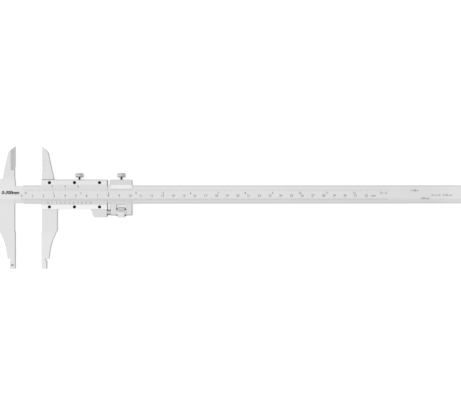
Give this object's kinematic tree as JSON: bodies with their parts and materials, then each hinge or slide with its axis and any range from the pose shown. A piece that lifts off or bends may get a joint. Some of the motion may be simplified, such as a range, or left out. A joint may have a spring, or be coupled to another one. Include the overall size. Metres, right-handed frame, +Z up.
{
  "type": "vernier caliper",
  "caption": "Long vernier caliper: knife jaws above the beam, nib jaws below, sliding vernier head, fine-adjustment carrier with a knurled nut, and knurled clamp screws.",
  "frame": {"origin": "bottom centre of the whole caliper's box, with the caliper lying on its back and its jaws 24.5 mm open", "axes": "+X along the beam, away from the fixed jaw; +Y across the beam, towards the knife jaws; +Z up, out of the graduated face"},
  "size_m": [0.431, 0.1136, 0.0099],
  "materials": {
    "satin_chrome": "satin hard chrome over ground steel",
    "plate_chrome": "satin chrome plate with a bevelled edge",
    "knurled_steel": "straight-knurled steel",
    "turned_steel": "turned steel",
    "black_oxide": "black oxide",
    "scale_marks": "etched and filled black",
    "brass": "plain brass"
  },
  "bodies": {
    "beam": {"beam_with_fixed_jaws": "satin_chrome", "end_stop_screw_1": "turned_steel", "end_stop_screw_2": "turned_steel"},
    "slider": {"slider_frame": "satin_chrome", "inch_vernier_plate": "plate_chrome", "metric_vernier_plate": "plate_chrome", "inch_plate_screw_1": "black_oxide", "inch_plate_screw_2": "black_oxide", "inch_plate_screw_3": "black_oxide", "metric_plate_screw_1": "black_oxide", "metric_plate_screw_2": "black_oxide", "metric_plate_screw_3": "black_oxide", "slider_gib": "brass", "gib_set_screw_1": "black_oxide", "gib_set_screw_2": "black_oxide", "adjusting_screw": "turned_steel", "adjusting_screw_pin": "turned_steel"},
    "slider_clamp_shoe": {"slider_clamp_shoe": "brass"},
    "slider_clamp_screw": {"slider_clamp_screw": "knurled_steel"},
    "carrier": {"carrier_block": "satin_chrome", "carrier_gib": "brass"},
    "carrier_clamp_shoe": {"carrier_clamp_shoe": "brass"},
    "carrier_clamp_screw": {"carrier_clamp_screw": "knurled_steel"},
    "adjusting_nut": {"adjusting_nut": "knurled_steel"}
  },
  "joints": [
    {"name": "slider_travel", "type": "slide", "parent": "beam", "child": "slider", "axis": [1, 0, 0], "range_m": [-0.02448, 0.2805]},
    {"name": "fine_travel", "type": "slide", "parent": "slider", "child": "carrier", "axis": [1, 0, 0], "range_m": [-0.0023, 0.0025]},
    {"name": "nut_turn", "type": "hinge", "parent": "carrier", "child": "adjusting_nut", "pos_m": [-0.10275, -0.0045, 0.00495], "axis": [1, 0, 0], "range_deg": [-1657, 1801]},
    {"name": "slider_shoe_travel", "type": "slide", "parent": "slider", "child": "slider_clamp_shoe", "axis": [0, 1, 0], "range_m": [-0.000225, 0.000675]},
    {"name": "slider_clamp_turn", "type": "hinge", "parent": "slider_clamp_shoe", "child": "slider_clamp_screw", "pos_m": [-0.1417, 0.0259, 0.0041], "axis": [0, 1, 0], "range_deg": [-181, 541]},
    {"name": "carrier_shoe_travel", "type": "slide", "parent": "carrier", "child": "carrier_clamp_shoe", "axis": [0, 1, 0], "range_m": [-0.000225, 0.000675]},
    {"name": "carrier_clamp_turn", "type": "hinge", "parent": "carrier_clamp_shoe", "child": "carrier_clamp_screw", "pos_m": [-0.10282, 0.0259, 0.0041], "axis": [0, 1, 0], "range_deg": [-181, 541]}
  ],
  "couplings": [
    {"joint": "nut_turn", "follows": "fine_travel", "rad_per_m": 12566},
    {"joint": "slider_clamp_turn", "follows": "slider_shoe_travel", "rad_per_m": 13963},
    {"joint": "carrier_clamp_turn", "follows": "carrier_shoe_travel", "rad_per_m": 13963}
  ]
}
